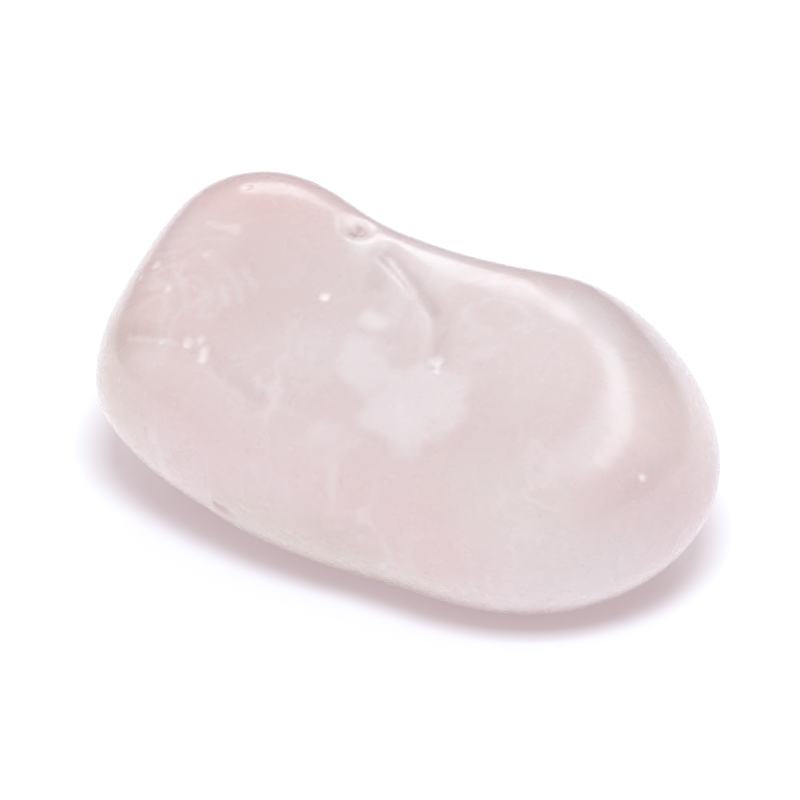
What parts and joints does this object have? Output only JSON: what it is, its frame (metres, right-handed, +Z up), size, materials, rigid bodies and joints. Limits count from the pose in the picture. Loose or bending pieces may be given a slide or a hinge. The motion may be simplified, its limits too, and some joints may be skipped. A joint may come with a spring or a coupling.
{
  "type": "tumbled stone",
  "caption": "Small tumbled rose quartz pebble, long and kidney shaped, polished all over, resting on a small flat worn spot.",
  "frame": {"origin": "on the surface the stone rests on, under the middle of its box", "axes": "+X along the stone's length towards its broad end, +Y from its front to its back, +Z up from the flat spot it rests on"},
  "size_m": [0.0256, 0.0148, 0.0127],
  "materials": {
    "rose_quartz": "satin polish of a tumbled pebble: milky, see-through in thin places, very pale greyish pink"
  },
  "bodies": {
    "root": {"stone": "rose_quartz"}
  },
  "joints": []
}
